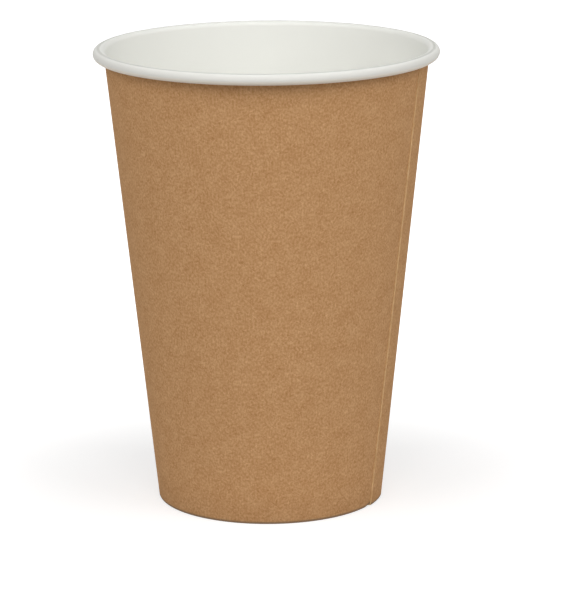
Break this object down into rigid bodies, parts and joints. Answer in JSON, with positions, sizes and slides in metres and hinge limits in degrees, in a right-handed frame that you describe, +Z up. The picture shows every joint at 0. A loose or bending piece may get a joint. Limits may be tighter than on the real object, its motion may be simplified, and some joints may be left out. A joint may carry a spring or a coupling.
{
  "type": "paper coffee cup",
  "caption": "Single-wall kraft paper cup for hot drinks: a tapered wall with a rolled rim, a lapped side seam and a hemmed foot, and a recessed base.",
  "frame": {"origin": "centre of the foot ring, on the plane that the cup stands on", "axes": "+Z up along the cup's axis towards the rim; the picture looks along +Y; the side seam is on the +X side, turned a little towards -Y"},
  "size_m": [0.07, 0.07, 0.0936],
  "materials": {
    "kraft_board": "matte brown kraft outside, soft-gloss white coating inside and on the rim",
    "white_board": "soft-gloss white coating"
  },
  "bodies": {
    "root": {"side_wall": "kraft_board", "base_disc": "white_board"}
  },
  "joints": []
}
